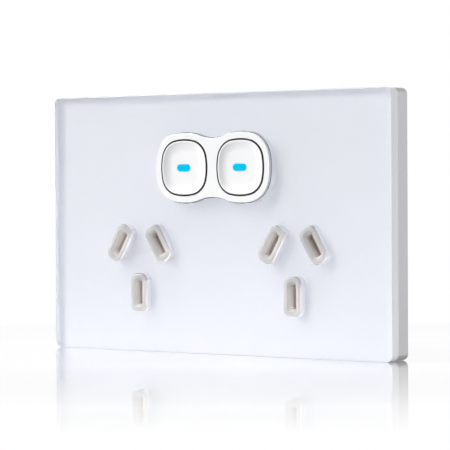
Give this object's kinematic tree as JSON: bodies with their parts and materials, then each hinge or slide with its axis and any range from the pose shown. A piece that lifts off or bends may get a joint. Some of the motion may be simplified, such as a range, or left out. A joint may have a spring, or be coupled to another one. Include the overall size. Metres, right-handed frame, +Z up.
{
  "type": "switched double power point",
  "caption": "Wall power point with a clear fascia over white, a silver-grey rim, dished push-button switches with lit bars, and sockets for flat three-pin plugs.",
  "frame": {"origin": "middle of the plate on the wall plane, halfway between the two wall screws", "axes": "+X to the right seen from the front, +Y into the wall, +Z up; the front faces -Y"},
  "size_m": [0.116, 0.0401, 0.074],
  "materials": {
    "clear_acrylic": "clear gloss",
    "white_backing": "gloss white",
    "silver_grey": "satin silver-grey",
    "white_plastic": "satin white",
    "clear_plastic": "clear gloss",
    "indicator_blue": "lit blue",
    "white_moulding": "matt white",
    "dark_moulding": "matt black",
    "brass": "bright",
    "steel": "zinc plated",
    "circuit_board": "satin green",
    "lamp_body": "clear blue-white"
  },
  "bodies": {
    "plate": {"fascia": "clear_acrylic", "fascia_backing": "white_backing", "surround_frame": "silver_grey", "switch_bezel": "white_plastic", "socket_insert_left": "clear_plastic", "socket_insert_right": "clear_plastic", "grid_plate": "white_moulding", "mechanism_body": "white_moulding", "rear_cover": "white_moulding", "active_bar": "brass", "switched_contact_left": "brass", "switched_contact_right": "brass", "neutral_bar": "brass", "earth_bar": "brass", "terminal_active": "brass", "terminal_neutral": "brass", "terminal_earth": "brass", "terminal_screws": "steel", "indicator_board": "circuit_board", "lamp_left": "lamp_body", "lamp_right": "lamp_body", "board_resistors": "dark_moulding", "board_pins": "steel", "assembly_screws": "steel", "cover_screws": "steel", "return_spring_left": "steel", "return_spring_right": "steel", "carrier_spring_left": "steel", "carrier_spring_right": "steel"},
    "button_left": {"button_left": "white_plastic", "light_guide_left": "indicator_blue"},
    "button_right": {"button_right": "white_plastic", "light_guide_right": "indicator_blue"},
    "carrier_left": {"contact_carrier_left": "dark_moulding", "bridge_contact_left": "brass"},
    "carrier_right": {"contact_carrier_right": "dark_moulding", "bridge_contact_right": "brass"}
  },
  "joints": [
    {"name": "button_left_press", "type": "slide", "parent": "plate", "child": "button_left", "axis": [0, 1, 0], "range_m": [0, 0.0025], "stiffness_N_per_m": 500, "springref_m": -0.003, "deforming": ["return_spring_left"]},
    {"name": "button_right_press", "type": "slide", "parent": "plate", "child": "button_right", "axis": [0, 1, 0], "range_m": [0, 0.0025], "stiffness_N_per_m": 500, "springref_m": -0.003, "deforming": ["return_spring_right"]},
    {"name": "carrier_left_switch", "type": "slide", "parent": "plate", "child": "carrier_left", "axis": [0, -1, 0], "range_m": [0, 0.002], "deforming": ["carrier_spring_left"]},
    {"name": "carrier_right_switch", "type": "slide", "parent": "plate", "child": "carrier_right", "axis": [0, -1, 0], "range_m": [0, 0.002], "deforming": ["carrier_spring_right"]}
  ]
}
